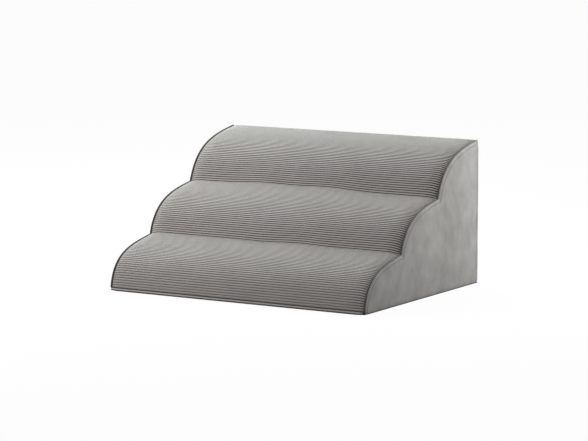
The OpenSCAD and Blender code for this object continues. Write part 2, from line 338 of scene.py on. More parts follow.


# %% [markdown]
# ## Corduroy
#
# Wide-wale polyester corduroy has cut pile standing in ribs with bare ground weave between them. The ribs are real
# geometry. The material reads an attribute that says how high in the pile a point is: the groove is darker than the
# rib because little light gets down there, which is painted shade, and because no pile covers the weave. Beside the
# left seam that attribute is raised, which paints the grooves lighter, as light along the ribs would light them. On
# the lowest step it is raised too, so the grooves are paler there. Short pile also glows a little at a grazing angle,
# which the sheen gives. A second attribute makes the lowest step darker, most at its foot.

# %% Corduroy material
def corduroy():
    material, where = new_material("wide_wale_corduroy_polyester")
    pile = add(material, "Attribute", {}, attribute_name="pile")["Fac"]
    tufts = add(material, "Mapping", {"Vector": where["UV"], "Scale": (160, 900, 1)})["Vector"]  # 6 mm by 1.1 mm
    fibres = add(material, "TexNoise", {"Vector": tufts, "Scale": 1, "Detail": 3, "Roughness": 0.6})["Fac"]
    patches = add(material, "TexNoise", {"Vector": where["UV"], "Scale": 14, "Detail": 2})["Fac"]  # of 70 mm
    height = add(material, "MapRange", {"Value": pile, 1: 0.5, 2: 0.98}, interpolation_type="SMOOTHSTEP")["Result"]
    rib = add(material, "Mix", {0: fibres, COLOUR_A: "#b6b5b1", COLOUR_B: "#cbcac6"}, data_type="RGBA")
    patch = add(material, "MapRange", {"Value": patches, 1: 0.3, 2: 0.7, 3: 0.95, 4: 1.04})["Result"]
    toned = add(material, "Mix", {0: 1.0, COLOUR_A: rib[COLOUR_OUT], COLOUR_B: patch}, data_type="RGBA",
                blend_type="MULTIPLY")
    colour = add(material, "Mix", {0: height, COLOUR_A: "#56483f", COLOUR_B: toned[COLOUR_OUT]}, data_type="RGBA")
    # makes the lowest step darker, most at its foot
    lowest_step_toning = add(material, "Attribute", {}, attribute_name="lowest_step_toning")["Fac"]
    shade = add(material, "MapRange", {"Value": lowest_step_toning, 3: 1.0, 4: 0.75})["Result"]
    colour = add(material, "Mix", {0: 1.0, COLOUR_A: colour[COLOUR_OUT], COLOUR_B: shade}, data_type="RGBA",
                 blend_type="MULTIPLY")
    return finish(material, colour[COLOUR_OUT], 0.92, fibres, 0.3 * MM, 0.4, Sheen_Weight=0.25, Sheen_Roughness=0.5,
                  Specular_IOR_Level=0.25)


corduroy_cloth = corduroy()

# %% [markdown]
# ## The corduroy over the steps
#
# Each step has its own length of corduroy, sewn to the next in the crease, with the ribs running across the width.
# The grid has eight rows to a rib, closer together at the groove where the shape turns fastest. Beside the side seams
# the cloth rolls down to the piping, and the ribs are dragged a little towards the crease, as the seam pulls them.
# The right seam gathers the ribs. At the left one the pile leans over the grooves instead, so they are shallower,
# and their colour there is painted lighter, as light along the ribs would light them.

# %% Sizes of the corduroy
PANEL_X = 345.6 * MM  # where the corduroy meets the piping
RIBS_X = 346.6 * MM  # the ends of the ribs lap over it
SEAM_ROLL = {-1: (24 * MM, 3.0 * MM), 1: (14 * MM, 2.2 * MM)}  # how far in the cloth starts to roll, and how deep
RIBS = [36, 37, 41]
RIB_ROWS = [0, 0.06, 0.16, 0.31, 0.5, 0.69, 0.84, 0.94]
RIB_H = 1.9 * MM
CORDUROY_T = 2.45 * MM
CREASE_ROLL, CREASE_DROP = 2.5 * MM, 0.8 * MM
DRAG, DRAG_W, DRAG_SPAN = 2.2 * MM, 24 * MM, 0.55  # the span is a share of the step's length
PINCHES = ((0.55, 10 * MM), (0.45, 40 * MM))  # beside the right seam: share and reach of the gathers
PINCH, PIT = 2.0, 0.5 * MM  # how much they narrow the ribs and deepen the grooves
RIB_END, RIB_END_W = 2.4 * MM, 4 * MM  # how much further a rib reaches over the right piping than a groove does
RIB_MIDDLE = 0.55  # the height that reaches as far as the cloth itself
LEAN_AND_LIGHT, LEAN_LIGHT_REACH = 0.45, 36 * MM  # the share of a groove that leaning pile covers at the left seam, also painted lit in the colour
LEAN_FILLS = 0.6  # and the share of its depth that such pile fills
LOWEST_TONING, LOWEST_TONING_SPAN = 0.5, 0.8  # how much darker, with paler grooves, the lowest step is made, and the share of its length this reaches
LAST_RIB_ROWS = 4
WAVE, WAVES, WAVE_EDGE = 0.25 * MM, 14, 20 * MM  # slow waves of the cloth, none in the creases
LEVELS = ("lower", "middle", "upper")

left_roll, right_roll = SEAM_ROLL[-1][0], SEAM_ROLL[1][0]
corduroy_columns = [-RIBS_X + left_roll * (1 - cos(radians(a))) for a in range(0, 90, 9)]
corduroy_columns += spread(-RIBS_X + left_roll, RIBS_X - right_roll, 56)
corduroy_columns += [RIBS_X - right_roll * (1 - cos(radians(a))) for a in range(80, -1, -10)]


# %% Corduroy panels
def pinch(x):
    """How much the right seam gathers the cloth: most in the last centimetre, a little for three more."""
    return sum(share * max(0, 1 - (RIBS_X - x) / reach) for share, reach in PINCHES)


def lean_and_painted_light(x):
    """How much of the grooves the pile covers beside the left seam; the colour uses it as painted light in the
    grooves.
    """
    return LEAN_AND_LIGHT * max(0, 1 - (RIBS_X + x) / LEAN_LIGHT_REACH)


def rib_height(share, gathered):
    """Height of the pile across one rib, from 0 in the groove to 1 on its crown."""
    return sqrt(max(0.0, 1 - (2 * share - 1) ** 2)) ** (1 + PINCH * gathered)


def corduroy_panel(level, index):
    step, ribs = steps[index], RIBS[index]
    along = [(k + share) / ribs * step.length for k in range(ribs) for share in RIB_ROWS] + [step.length]

    def place(x, s, behind):
        side = -1 if x < 0 else 1
        to_seam, to_crease = RIBS_X - abs(x), min(s, step.length - s)
        share = s / step.length * ribs % 1 if s < step.length else 0
        gathered, lean = pinch(x), lean_and_painted_light(x)
        reach, drop = SEAM_ROLL[side]
        sunk = drop * (1 - sqrt(1 - (1 - min(1, to_seam / reach)) ** 2))
        sunk += CREASE_DROP * max(0, 1 - to_crease / CREASE_ROLL) ** 2
        drag = DRAG * max(0, 1 - to_seam / DRAG_W) ** 2 * sin(pi * min(1, s / step.length / DRAG_SPAN))
        point, out = step.at(s - drag)
        point.z += slack(index, x, s)
        x *= 1 - seam_pull(side, seam_marks[index + 1] + s) / RIBS_X
        if behind:
            depth = CORDUROY_T + sunk
        else:
            height = rib_height(share, gathered)
            wave = WAVE * noise.noise(Vector((x * WAVES, s * WAVES, index))) * min(1, to_crease / WAVE_EDGE)
            depth = (RIB_H * (1 - LEAN_FILLS * lean) + PIT * gathered) * (1 - height) + sunk - wave
            if side > 0:
                x *= 1 + RIB_END * (height - RIB_MIDDLE) * max(0, 1 - to_seam / RIB_END_W) / RIBS_X
        return point - out * depth + Vector((x, 0, 0))

    work = lined_grid(corduroy_columns, along, place)
    column, row = work.verts.layers.int["column"], work.verts.layers.int["row"]
    pile, toning_layer = work.verts.layers.float.new("pile"), work.verts.layers.float.new("lowest_step_toning")
    for vert in work.verts:
        x, s = corduroy_columns[vert[column]], along[vert[row]]
        height = rib_height(RIB_ROWS[vert[row] % len(RIB_ROWS)], pinch(x))
        # the lowest step is darker and its grooves paler, most at its foot
        lowest_step_toning = LOWEST_TONING * max(0, 1 - s / (LOWEST_TONING_SPAN * step.length)) if index == 0 else 0
        # grooves painted paler: painted light beside the left seam, and the lowest step's toning
        groove_paling = max(lowest_step_toning, lean_and_painted_light(x))
        if index == 2 and vert[row] >= len(along) - LAST_RIB_ROWS:
            groove_paling = 1  # the last rib is turned over the back edge, so no groove shows behind it
        vert[pile], vert[toning_layer] = height + (1 - height) * groove_paling, lowest_step_toning
    made = hang(closed(work), level + "_step_corduroy", corduroy_cloth, "corded_fabric", [level + "_step_panel"])


for index, level in enumerate(LEVELS):
    corduroy_panel(level, index)

# %% [markdown]
# ## Plush
#
# The sides and the back are short warp-knit plush. Its pile lies in soft patches where hands have brushed it, so the
# colour drifts in clouds of two to eight centimetres. A very fine noise stands for the pile itself; the real fibres
# are far too thin to show, so it is drawn at about a millimetre. At the seam and along the groove under the thread,
# an attribute of the mesh makes it darker: painted shade in these hollows, and pile pressed flat there.

# %% Plush material
def plush():
    material, where = new_material("short_pile_plush_polyester")
    drift = add(material, "TexNoise", {"Vector": where["Object"], "Scale": 13, "Detail": 2, "Distortion": 0.1})["Fac"]
    nap_space = add(material, "Mapping", {"Vector": where["Object"], "Scale": (32, 32, 24)})["Vector"]
    nap = add(material, "TexNoise", {"Vector": nap_space, "Scale": 1, "Detail": 4, "Roughness": 0.55,
                                     "Distortion": 0.3})["Fac"]
    pile = add(material, "TexNoise", {"Vector": where["Object"], "Scale": 900, "Detail": 2})["Fac"]
    clouds = add(material, "Mix", {0: 0.55, 2: drift, 3: nap})[0]
    clouds = add(material, "MapRange", {"Value": clouds, 1: 0.36, 2: 0.64})["Result"]
    colour = add(material, "Mix", {0: clouds, COLOUR_A: "#a0a09e", COLOUR_B: "#b9b9b7"}, data_type="RGBA")
    # painted shade at the seam and under the thread, with the pile pressed flat there
    pressed_and_shaded = add(material, "Attribute", {}, attribute_name="pressed_and_shaded")["Fac"]
    shade = add(material, "MapRange", {"Value": pressed_and_shaded, 3: 1.0, 4: 0.82})["Result"]
    toned = add(material, "Mix", {0: 1.0, COLOUR_A: colour[COLOUR_OUT], COLOUR_B: shade}, data_type="RGBA",
                blend_type="MULTIPLY")
    return finish(material, toned[COLOUR_OUT], 0.9, pile, 0.2 * MM, 0.35, Sheen_Weight=0.3, Sheen_Roughness=0.45,
                  Specular_IOR_Level=0.25)


plush_cloth = plush()

# %% [markdown]
# ## How a sewn edge lies
#
# Near a seam, cloth dips into the stitches, then swells over the allowance folded behind it, and dips again where a
# row of topstitching holds that allowance down. One function of the distance from the seam gives this section, and
# the side and back panels all use it.

# %% A sewn edge
EDGE_ROLL, EDGE_DROP = 2.6 * MM, 1.1 * MM
SEAM_STITCH, BACK_STITCH = 8.5 * MM, 11 * MM  # rows of thread, in from the scalloped seam and from the back edge
STITCH_W = 1.0 * MM
STITCH_DEPTH = {SEAM_STITCH: 0.9 * MM, BACK_STITCH: 0.4 * MM}
THREAD_RISE = 0.2 * MM  # how far the thread lies above the bottom of its groove
ALLOWANCE_LIFT = 0.5 * MM
ALLOWANCE_START, ALLOWANCE_LESS = 1 * MM, 1.6 * MM  # it starts beside the seam and ends short of the thread
edge_marks = mm(0, 0.5, 1.2, 2, 3, 4.5, 6.2, 7.4, 8, 8.5, 9, 9.7, 10.4, 11, 11.6, 13, 16)  # in from a sewn edge


def edge_dip(d):
    return -EDGE_DROP * max(0, 1 - d / EDGE_ROLL) ** 2


def allowance(d, row):
    return ALLOWANCE_LIFT * sin(pi * min(1, max(0, (d - ALLOWANCE_START) / (row - ALLOWANCE_LESS))))


def stitch_dip(d, row):
    return -STITCH_DEPTH[row] * exp(-(((d - row) / STITCH_W) ** 2))


def sewn_lift(topstitched, plain):
    """Height over the cloth's plane, from pairs of distance and stitch row for topstitched edges, and from distances
    to plain ones."""
    near = min([d for d, row in topstitched] + plain)
    swell = max(allowance(*pair) for pair in topstitched)
    return edge_dip(near) + swell + min(stitch_dip(*pair) for pair in topstitched)


# %% [markdown]
# ## How foam fills a flat panel
#
# A panel of plush is cut flat and sewn in all round, and then the foam behind it pushes. How it swells depends on its
# outline: most where it is widest, hardly at all in a narrow tip. A formula for that is hard to write and Blender's
# cloth solver finds it by itself, so the panel is simulated: a coarse flat grid, pinned where the seam is, with an
# even pressure behind it and no gravity. The solver treats each point as a weight of its own, so small cells need a
# light weight and a strong push. What comes out is only measured: the fine panel reads its height with a ray. Foam
# gives way, so the swelling is capped by a curve that levels off.

# %% Cloth simulation of a panel
CELL, FRAMES, PRESSURE = 4.5 * MM, 20, 20
RIPPLE = 0.3 * MM  # the sheet starts a little uneven, or it would stay flat
SMOOTHINGS = 4
FOAM_GIVES = 3 * MM  # the height at which the foam has given most of what it has


def start_sheet(seam, inside, nearest):
    """A coarse flat grid cut to the seam, with its border on the seam."""
    low, high = [Vector((end(p.x for p in seam), end(p.y for p in seam), 0)) for end in (min, max)]
    work = bmesh.new()
    cells = [round(length / CELL) for length in (high - low)[:2]]
    bmesh.ops.create_grid(work, x_segments=cells[0], y_segments=cells[1], size=0.5)
    bmesh.ops.translate(work, verts=work.verts, vec=(0.5, 0.5, 0))
    bmesh.ops.scale(work, verts=work.verts, vec=(high.x - low.x, high.y - low.y, 1))
    bmesh.ops.translate(work, verts=work.verts, vec=low)
    spare = [v for v in work.verts if not inside(v.co) or nearest.find(v.co)[2] < CELL / 2]
    bmesh.ops.delete(work, geom=spare, context="VERTS")
    bmesh.ops.delete(work, geom=[v for v in work.verts if len(v.link_faces) < 2], context="VERTS")
    for vert in work.verts:
        if vert.is_boundary:
            vert.co = nearest.find(vert.co)[0]
        else:
            vert.co.z = RIPPLE * noise.noise(vert.co * 60)
    bmesh.ops.remove_doubles(work, verts=work.verts[:], dist=0.3 * CELL)  # the solver stops at an edge of no length
    work.verts.index_update()
    return work


def swelling(name, seam, inside):
    """Simulates a panel that is sewn in at a ring of points; returns how full it is at a place, 0 to 1."""
    nearest = kdtree.KDTree(len(seam))
    for k, point in enumerate(seam):
        nearest.insert(point, k)
    nearest.balance()
    work = start_sheet(seam, inside, nearest)
    held = [v.index for v in work.verts if v.is_boundary]
    sheet = put(name, mesh_from(work, name))
    sheet.vertex_groups.new(name="seam").add(held, 1.0, "REPLACE")
    solver = sheet.modifiers.new("cloth", "CLOTH")
    plush_like = solver.settings
    plush_like.quality, plush_like.mass = 5, 0.01
    plush_like.tension_stiffness = plush_like.compression_stiffness = 15
    plush_like.shear_stiffness, plush_like.bending_stiffness = 7, 0.05
    plush_like.vertex_group_mass = "seam"
    plush_like.use_pressure, plush_like.uniform_pressure_force = True, PRESSURE
    plush_like.effector_weights.gravity = 0
    solver.point_cache.frame_end = FRAMES
    for moment in range(1, FRAMES + 1):
        bpy.context.scene.frame_set(moment)
    work = bmesh.new()
    work.from_mesh(sheet.evaluated_get(bpy.context.evaluated_depsgraph_get()).to_mesh())
    for repeat in range(SMOOTHINGS):
        bmesh.ops.smooth_vert(work, verts=[v for v in work.verts if not v.is_boundary], factor=0.5,
                              use_axis_x=True, use_axis_y=True, use_axis_z=True)
    highest = max(v.co.z for v in work.verts)
    print(name, "simulated,", len(work.verts), "points, swells", round(highest / MM, 1), "mm")
    surface = BVHTree.FromBMesh(work)
    work.free()
    bpy.data.objects.remove(sheet)
    bpy.context.scene.frame_set(1)

    def fullness_at(u, v):
        hit = surface.ray_cast(Vector((u, v, 1)), Vector((0, 0, -1)))[0]
        return 1 - exp(-max(0, hit.z) / FOAM_GIVES) if hit else 0

    return fullness_at


# %% [markdown]
# ## Side panels
#
# A side panel is one piece of plush cut to the scalloped line. The grid has a column for every two millimetres
# along that line. Its first rows run parallel to the edge, so the seam's section follows every curve; below them the
# rows close up evenly towards the floor. The two sides are cut as mirror images, so one simulation serves both.

# %% The grid of a side panel
HANDS = (("left", -1), ("right", 1))
SIDE_X, SIDE_T, SIDE_INSET = 352 * MM, 2 * MM, 1.2 * MM
REAR_Y = 277.5 * MM
FADE_IN = 26 * MM
TOP_CORNER = 18 * MM  # the columns lie closer together at the back edge
EVEN_REACH = 80 * MM  # columns lean to stand evenly along the foot, but less and less this far from the back
FOOT_H = 12 * MM
side_stations = stations(seam_marks[:-1] + [whole.length - TOP_CORNER], 1.8 * MM)
side_stations += [whole.length - m for m in reversed(edge_marks + [TOP_CORNER])]
side_rows = edge_marks + [("body", (k / 26) ** 1.4) for k in range(1, 27)]
side_rows += [("foot", share) for share in (0.7, 0.45, 0.25, 0.12, 0.05, 0)]
side_start = whole.at(0)[0].y + SIDE_INSET + edge_marks[-1]


def way_in(s):
    """From the edge into a side panel: square to the edge, but level at the toe and straight down at the back."""
    inward = -outward(s)
    from_nose, from_back = (s - toe_l) / FADE_IN, (whole.length - s) / FADE_IN
    if from_nose < 1:
        return Vector((0, 1, 0)).lerp(inward, max(0, from_nose))
    if from_back < 1:
        return Vector((0, 0, -1)).lerp(inward, max(0, from_back))
    return inward


def side_point(s, row):
    """A point of a side panel in the side view, and its distance to the scalloped edge."""
    edge = whole.at(s)[0] + way_in(s) * SIDE_INSET
    ring = edge + way_in(s) * edge_marks[-1]
    if not isinstance(row, tuple):
        point, depth = edge + (ring - edge) * row / edge_marks[-1], row
    else:
        kind, share = row
        lead = side_start + (REAR_Y - side_start) * s / whole.length - ring.y
        foot_y = ring.y + max(0, lead) * min(1, (whole.length - s) / EVEN_REACH)
        tall = ring.z - BASE_T
        low = min(FOOT_H, 0.5 * tall)
        z = ring.z - share * (tall - low) if kind == "body" else BASE_T + low * share
        along = (ring.z - z) / tall if tall > WELD else 1
        point, depth = Vector((0, ring.y + (foot_y - ring.y) * along, z)), edge_marks[-1] + (ring.z - z)
    point.y = min(point.y, REAR_Y)
    point.z = max(point.z, BASE_T)
    return point, depth


# %% Simulate the side
scallops = [side_point(s, 0)[0].yz for s in side_stations]
floor_line = [Vector((y, BASE_T)) for y in spread(scallops[0].x, REAR_Y, 200)]
back_line = [Vector((REAR_Y, z)) for z in spread(BASE_T, scallops[-1].y, 120)]
scallop_marks = [point.x for point in scallops]


def under_scallops(point):
    k = bisect_right(scallop_marks, point.x)
    return 0 < k < len(scallops) and BASE_T < point.y < scallops[k].y


side_full = swelling("side_sheet", [p.to_3d() for p in scallops + floor_line + back_line], under_scallops)

# %% Side panels
SWELL, EDGE_SINK, ROLL_REACH = 3.0 * MM, 0.7 * MM, 14 * MM
CLOUD, CLOUDS = 0.5 * MM, 15  # soft unevenness, about seven centimetres across
DRAWN_REACH = 30 * MM
PUCKER, PUCKER_STEP, PUCKER_REACH = 0.6 * MM, 6.1 * MM, 7 * MM
PUCKER_EDGE, PUCKER_START = 0.6 * MM, 2 * MM
FOOT_DROP, FOOT_REACH = 1.6 * MM, 9 * MM  # the cloth turns under at the foot
THINNEST = 0.15 * MM
PRESSED_SHADE_W, PRESSED_SHADE_EDGE = 1.4 * MM, 2.5 * MM  # painted shade and flat pile: how wide under the thread, and how far in from the seam


def fullness(point, depth, seed):
    """How far the panel stands out: as full as the simulation says, sunk at the scalloped seam, a little uneven."""
    roll = ease(depth / ROLL_REACH)
    clouds = noise.noise(point * CLOUDS + Vector((seed, 0, 0)))
    return (SWELL * side_full(point.y, point.z) + CLOUD * clouds) * roll - EDGE_SINK * (1 - roll)


def drawn_in(side, s, depth):
    """How far the pulled seam takes the edge of a side panel with it."""
    return seam_pull(side, s) * max(0, 1 - depth / DRAWN_REACH) ** 2


def pucker(s, d, seed):
    """Small puckers that the stitches pull up along the seam; they die out within two centimetres."""
    drift = noise.noise(Vector((s * 35, seed, 0)))  # changes every three centimetres
    strength = 0.65 + 0.7 * noise.noise(Vector((s * 22, seed, 9)))  # and every five
    wave = sin(tau * s / PUCKER_STEP + 3 * drift)
    return PUCKER * strength * wave * min(1, (d + PUCKER_EDGE) / PUCKER_START) * exp(-d / PUCKER_REACH)


def side_panel(hand, side):
    seed = side * 3

    def place(s, row, behind):
        point, depth = side_point(s, side_rows[row])
        lift = -SIDE_T
        if not behind:
            lift = sewn_lift([(depth, SEAM_STITCH), (REAR_Y - point.y, BACK_STITCH)], [])
            lift += fullness(point, depth, seed) + pucker(s, depth, seed)
            lift -= FOOT_DROP * max(0, 1 - (point.z - BASE_T) / FOOT_REACH) ** 2
            lift = max(lift, THINNEST - SIDE_T)
        return Vector((side * (SIDE_X + lift - drawn_in(side, s, depth)), point.y, point.z))

    work = lined_grid(side_stations, range(len(side_rows)), place)
    row = work.verts.layers.int["row"]
    # darker at the seam and in the thread's groove: painted shade there, and pile pressed flat
    pressed_and_shaded = work.verts.layers.float.new("pressed_and_shaded")
    for vert in work.verts:
        depth = side_rows[vert[row]]
        if not isinstance(depth, tuple):
            vert[pressed_and_shaded] = max(exp(-(((depth - SEAM_STITCH) / PRESSED_SHADE_W) ** 2)), 1 - depth / PRESSED_SHADE_EDGE)
    return hang(closed(work), "side_plush_" + hand, plush_cloth, "plush_fabric", ["side_panel_" + hand])


cut = sum((b.y - a.y) * (a.z + b.z) / 2 for a, b in zip(whole.points, whole.points[1:]))
for hand, side in HANDS:
    made = side_panel(hand, side)

# %% [markdown]
# ## Piping
#
# Piping is a cord wrapped in a strip of cloth and caught in the seam, so half of it shows as a bead. Its charcoal
# colour is painted shade: it stands for the shadowed gaps beside the cord. A grid rolled into a tube follows the line
# of the steps; welding its two long edges closes it. Cotton twill is matt, and its slanting ribs catch a little
# light, so the bead looks wrapped and not like a wire.

# %% Piping along the side seams
def twill():
    material, where = new_material("cotton_twill_painted_seam_shade")
    threads = add(material, "Mapping", {"Vector": where["UV"], "Rotation": (0, 0, radians(45)),
                                        "Scale": (830, 830, 1)})["Vector"]  # a rib every 1.2 mm, coarser than real
    ribs = add(material, "TexWave", {"Vector": threads, "Scale": 0.32, "Distortion": 0.4})["Fac"]
    # charcoal tones: painted shade of the gaps beside the cord
    colour = add(material, "Mix", {0: ribs, COLOUR_A: "#413f3c", COLOUR_B: "#5b5955"}, data_type="RGBA")
    return finish(material, colour[COLOUR_OUT], 0.85, ribs, 0.15 * MM, 0.5, Sheen_Weight=0.15, Sheen_Roughness=0.5)


piping_cloth = twill()
CORD_R, CORD_SINK = 2.2 * MM, 2.1 * MM
CORD_X = {-1: 348.7 * MM, 1: 348.3 * MM}
CORD_TAPER, TAPER_L = 0.25, 2 * MM  # the ends are squeezed thinner
WOBBLE, WOBBLES = 0.04, 160


def wobble(length, *seed):
    """A wrapped cord is a few hundredths thicker here and thinner there."""
    return 1 + WOBBLE * noise.noise(Vector((length * WOBBLES, *seed)))


def bead(name, radius, along, place):
    work = laid_grid(spread(0, tau * radius, 12), along, place)
    hang(capped(work), "piping_bead_" + name, piping_cloth, "piping_fabric", ["piping_" + name], sharp=50)


def side_piping(hand, side):
    def place(u, s):
        angle, end = u / CORD_R, min(s, whole.length - s)
        r = CORD_R * (1 - CORD_TAPER * max(0, 1 - end / TAPER_L) ** 2) * wobble(s, side, 0)
        point = whole.at(s)[0] - outward(s) * (CORD_SINK + r * cos(angle))
        point.z = max(point.z, BASE_T)
        point.y = min(point.y, REAR_Y)
        return point + Vector((side * (CORD_X[side] - seam_pull(side, s)) + r * sin(angle), 0, 0))

    bead(hand, CORD_R, stations(seam_marks, 2.4 * MM) + [whole.length], place)


for hand, side in HANDS:
    side_piping(hand, side)

# %% Front piping
FRONT_R, FRONT_Y, FRONT_Z = 1.5 * MM, -275.3 * MM, 7.2 * MM


def along_front(u, x):
    angle, r = u / FRONT_R, FRONT_R * wobble(x, 0, 5)
    return Vector((x, FRONT_Y - r * cos(angle), FRONT_Z + r * sin(angle)))


bead("front", FRONT_R, spread(-PANEL_X, PANEL_X, 240), along_front)

# %% [markdown]
# ## The band at the foot
#
# Under the front piping runs a plain woven tape, folded over the edge of the base and stuffed a little by the seam
# behind it. It bulges forward more than the piping, so it catches the light as a thin pale line, and it runs back to
# the corners at its ends. Flat polyester threads are smooth and pale, and wear shows as slow changes of tone.

# %% Woven tape
def woven_tape():
    material, where = new_material("flat_woven_polyester_tape")
    rows = add(material, "Mapping", {"Vector": where["UV"], "Scale": (800, 3, 1)})["Vector"]  # threads of 1.25 mm
    threads = add(material, "TexWave", {"Vector": rows, "Scale": 0.32, "Distortion": 0.5})["Fac"]
    worn = add(material, "TexNoise", {"Vector": where["Object"], "Scale": 16, "Detail": 2})["Fac"]
    blend = add(material, "Mix", {0: 0.6, 2: threads, 3: worn})[0]
    colour = add(material, "Mix", {0: blend, COLOUR_A: "#b3b0ac", COLOUR_B: "#d0cdc9"}, data_type="RGBA")
    return finish(material, colour[COLOUR_OUT], 0.85, threads, 0.15 * MM, 0.4, Sheen_Weight=0.15)


BAND_T = 1.6 * MM
BAND_FOOT, BAND_HEAD = Vector((0, -275.6, 2.7)) * MM, Vector((0, -276.4, 6.1)) * MM
BAND_BULGE, BAND_CORNER, BAND_LEAD = 1.3 * MM, 16 * MM, 3 * MM
HEAD_BACK = 0.6  # the share of the lead that the head lacks


def band_lead(x):
    """How far the foot leans forward at that place; nothing at the corners, where the tape turns under."""
    return BAND_LEAD * ease((PANEL_X - abs(x)) / BAND_CORNER)


def along_band(x, v, behind):
    uneven = 0.85 + 0.3 * noise.noise(Vector((x * 18, 0, 3)))  # changes every six centimetres
    lead = band_lead(x) * (1 - HEAD_BACK * v) + BAND_BULGE * sin(pi * v) * uneven
    return BAND_FOOT.lerp(BAND_HEAD, v) + Vector((x, BAND_T if behind else -lead, 0))


band_work = lined_grid(spread(-PANEL_X, PANEL_X, 140), spread(0, 1, 8), along_band)
hang(closed(band_work), "front_band_tape", woven_tape(), "plush_fabric", ["front_band"])

# %% [markdown]
# ## Back panels
#
# The back is plush too, in two pieces with the zip between them. Each has a seam on three sides; along the zip the
# cloth is folded under and stitched down three millimetres from the fold. The lower one is only a strip, too narrow
# to swell. The rows of thread are noted here and sewn further down.

# %% Back panels
BACK_T = 2 * MM
TOP_Z = 347.4 * MM
ZIP_Z, OPENING = 45 * MM, 5.2 * MM
STRIP = 60 * MM  # a panel lower than this doesn't swell
FOLD_STITCH, FOLD_R, FOLD_DROP = 3 * MM, 1.4 * MM, 0.9 * MM
FOLD_GROOVE, FOLD_GROOVE_W = 0.5 * MM, 0.7 * MM
BACK_SWELL, BACK_WAVE, BACK_WAVES, BACK_EDGE = 2.2 * MM, 0.5 * MM, 12, 30 * MM
ROW_STEP, ROW_END = 2 * MM, 1 * MM  # of a row of thread: between its points, and before the edge of the cloth
back_seams = []


def fold_lift(d):
    """A folded edge: round, full up to its stitches, and level beyond them."""
    groove = FOLD_GROOVE * exp(-(((d - FOLD_STITCH) / FOLD_GROOVE_W) ** 2))
    return -FOLD_DROP * max(0, 1 - d / FOLD_R) ** 2 - groove


def along_back(place, corners):
    """Notes a row of thread on a panel, from corner to corner."""
    path = []
    for (x0, z0), (x1, z1) in zip(corners, corners[1:]):
        count = max(1, round(max(abs(x1 - x0), abs(z1 - z0)) / ROW_STEP))
        for x, z in zip(spread(x0, x1, count)[:-1], spread(z0, z1, count)):
            path.append(place(x, z, False) + Vector((0, THREAD_RISE, 0)))
    back_seams.append(path)


def back_panel(end, z0, z1, fold_at_top):
    if z1 - z0 > STRIP:
        ring = [Vector((x, z, 0)) for x in spread(-SEAM_X, SEAM_X, 240) for z in (z0, z1)]
        ring += [Vector((x, z, 0)) for x in (-SEAM_X, SEAM_X) for z in spread(z0, z1, 100)]
        full, marks, count = swelling("back_sheet", ring, lambda point: True), edge_marks, 40
    else:
        full, marks, count = lambda x, z: 0, mm(0, 0.5, 1.2, 2, 3, 4.5, 7), 8
    fold_marks = mm(0, 0.4, 0.9, 1.5, 2.2, 2.6, 3, 3.4, 3.9, 5, 7)
    low, top = (marks, fold_marks) if fold_at_top else (fold_marks, marks)
    columns, rows = between(SEAM_X, -SEAM_X, edge_marks, edge_marks, 60), between(z0, z1, low, top, count)

    def place(x, z, behind):
        if behind:
            return Vector((x, REAR_Y - BACK_T, z))
        to_side = SEAM_X - abs(x)
        fold, seam = (z1 - z, z - z0) if fold_at_top else (z - z0, z1 - z)
        stitched = [(to_side, BACK_STITCH)] if fold_at_top else [(to_side, BACK_STITCH), (seam, BACK_STITCH)]
        lift = sewn_lift(stitched, [seam, fold + EDGE_ROLL])
        wave = BACK_WAVE * noise.noise(Vector((x * BACK_WAVES, 7, z * BACK_WAVES)))
        lift += BACK_SWELL * full(x, z) + wave * ease(min(to_side, seam, fold) / BACK_EDGE)
        return Vector((x, REAR_Y + lift + fold_lift(fold), z))

    edge_x, first, high = SEAM_X - BACK_STITCH, z0 + ROW_END, z1 - BACK_STITCH
    if fold_at_top:
        for side in (-1, 1):
            along_back(place, [(side * edge_x, first), (side * edge_x, z1 - ROW_END)])
    else:
        along_back(place, [(-edge_x, first), (-edge_x, high), (edge_x, high), (edge_x, first)])
    fold_z = z1 - FOLD_STITCH if fold_at_top else z0 + FOLD_STITCH
    along_back(place, [(ROW_END - SEAM_X, fold_z), (SEAM_X - ROW_END, fold_z)])
    work = closed(lined_grid(columns, rows, place))
    made = hang(work, "rear_plush_" + end, plush_cloth, "plush_fabric", ["rear_panel_" + end])


back_panel("upper", ZIP_Z + OPENING, TOP_Z, False)
back_panel("lower", BASE_T, ZIP_Z - OPENING, True)

# %% [markdown]
# ## Base
#
# The underside is a dark woven cloth with small drops of soft plastic that stop the stairs from sliding. The drops
# are what touches the floor, so the cloth lies three tenths of a millimetre above it. Two drops are modelled and two
# Array modifiers repeat them over the whole base. The weave is matt and nearly black; moulded PVC has a soft shine.

# %% Base cloth
def base_weave():
    material, where = new_material("plain_woven_polyester_backing")
    warp = add(material, "TexWave", {"Vector": where["Object"], "Scale": 210, "Distortion": 0.3},
               bands_direction="X")["Fac"]  # threads 1.5 mm apart, twice as coarse as real
    weft = add(material, "TexWave", {"Vector": where["Object"], "Scale": 210, "Distortion": 0.3},
               bands_direction="Y")["Fac"]
    weave = add(material, "Math", {0: warp, 1: weft}, operation="MULTIPLY")[0]
    colour = add(material, "Mix", {0: weave, COLOUR_A: "#343436", COLOUR_B: "#48484a"}, data_type="RGBA")
    return finish(material, colour[COLOUR_OUT], 0.88, weave, 0.2 * MM, 0.5, Sheen_Weight=0.1)


CLOTH_LOW, BASE_FRONT = 0.3 * MM, -273 * MM
BASE_LIP, LIP_REACH = 4.6 * MM, 25 * MM  # the base's front edge stands forward and shows as a dark line
BASE_HEM, HEM_REACH, HEM_DIP = 1.0 * MM, 6 * MM, 0.7  # it is folded, so it is thicker and lies lower
HEM_TUCK = 3 * MM  # and it is tucked in at the corners
ROUND_OFF, ROUND_W = 0.35 * MM, 1.2 * MM


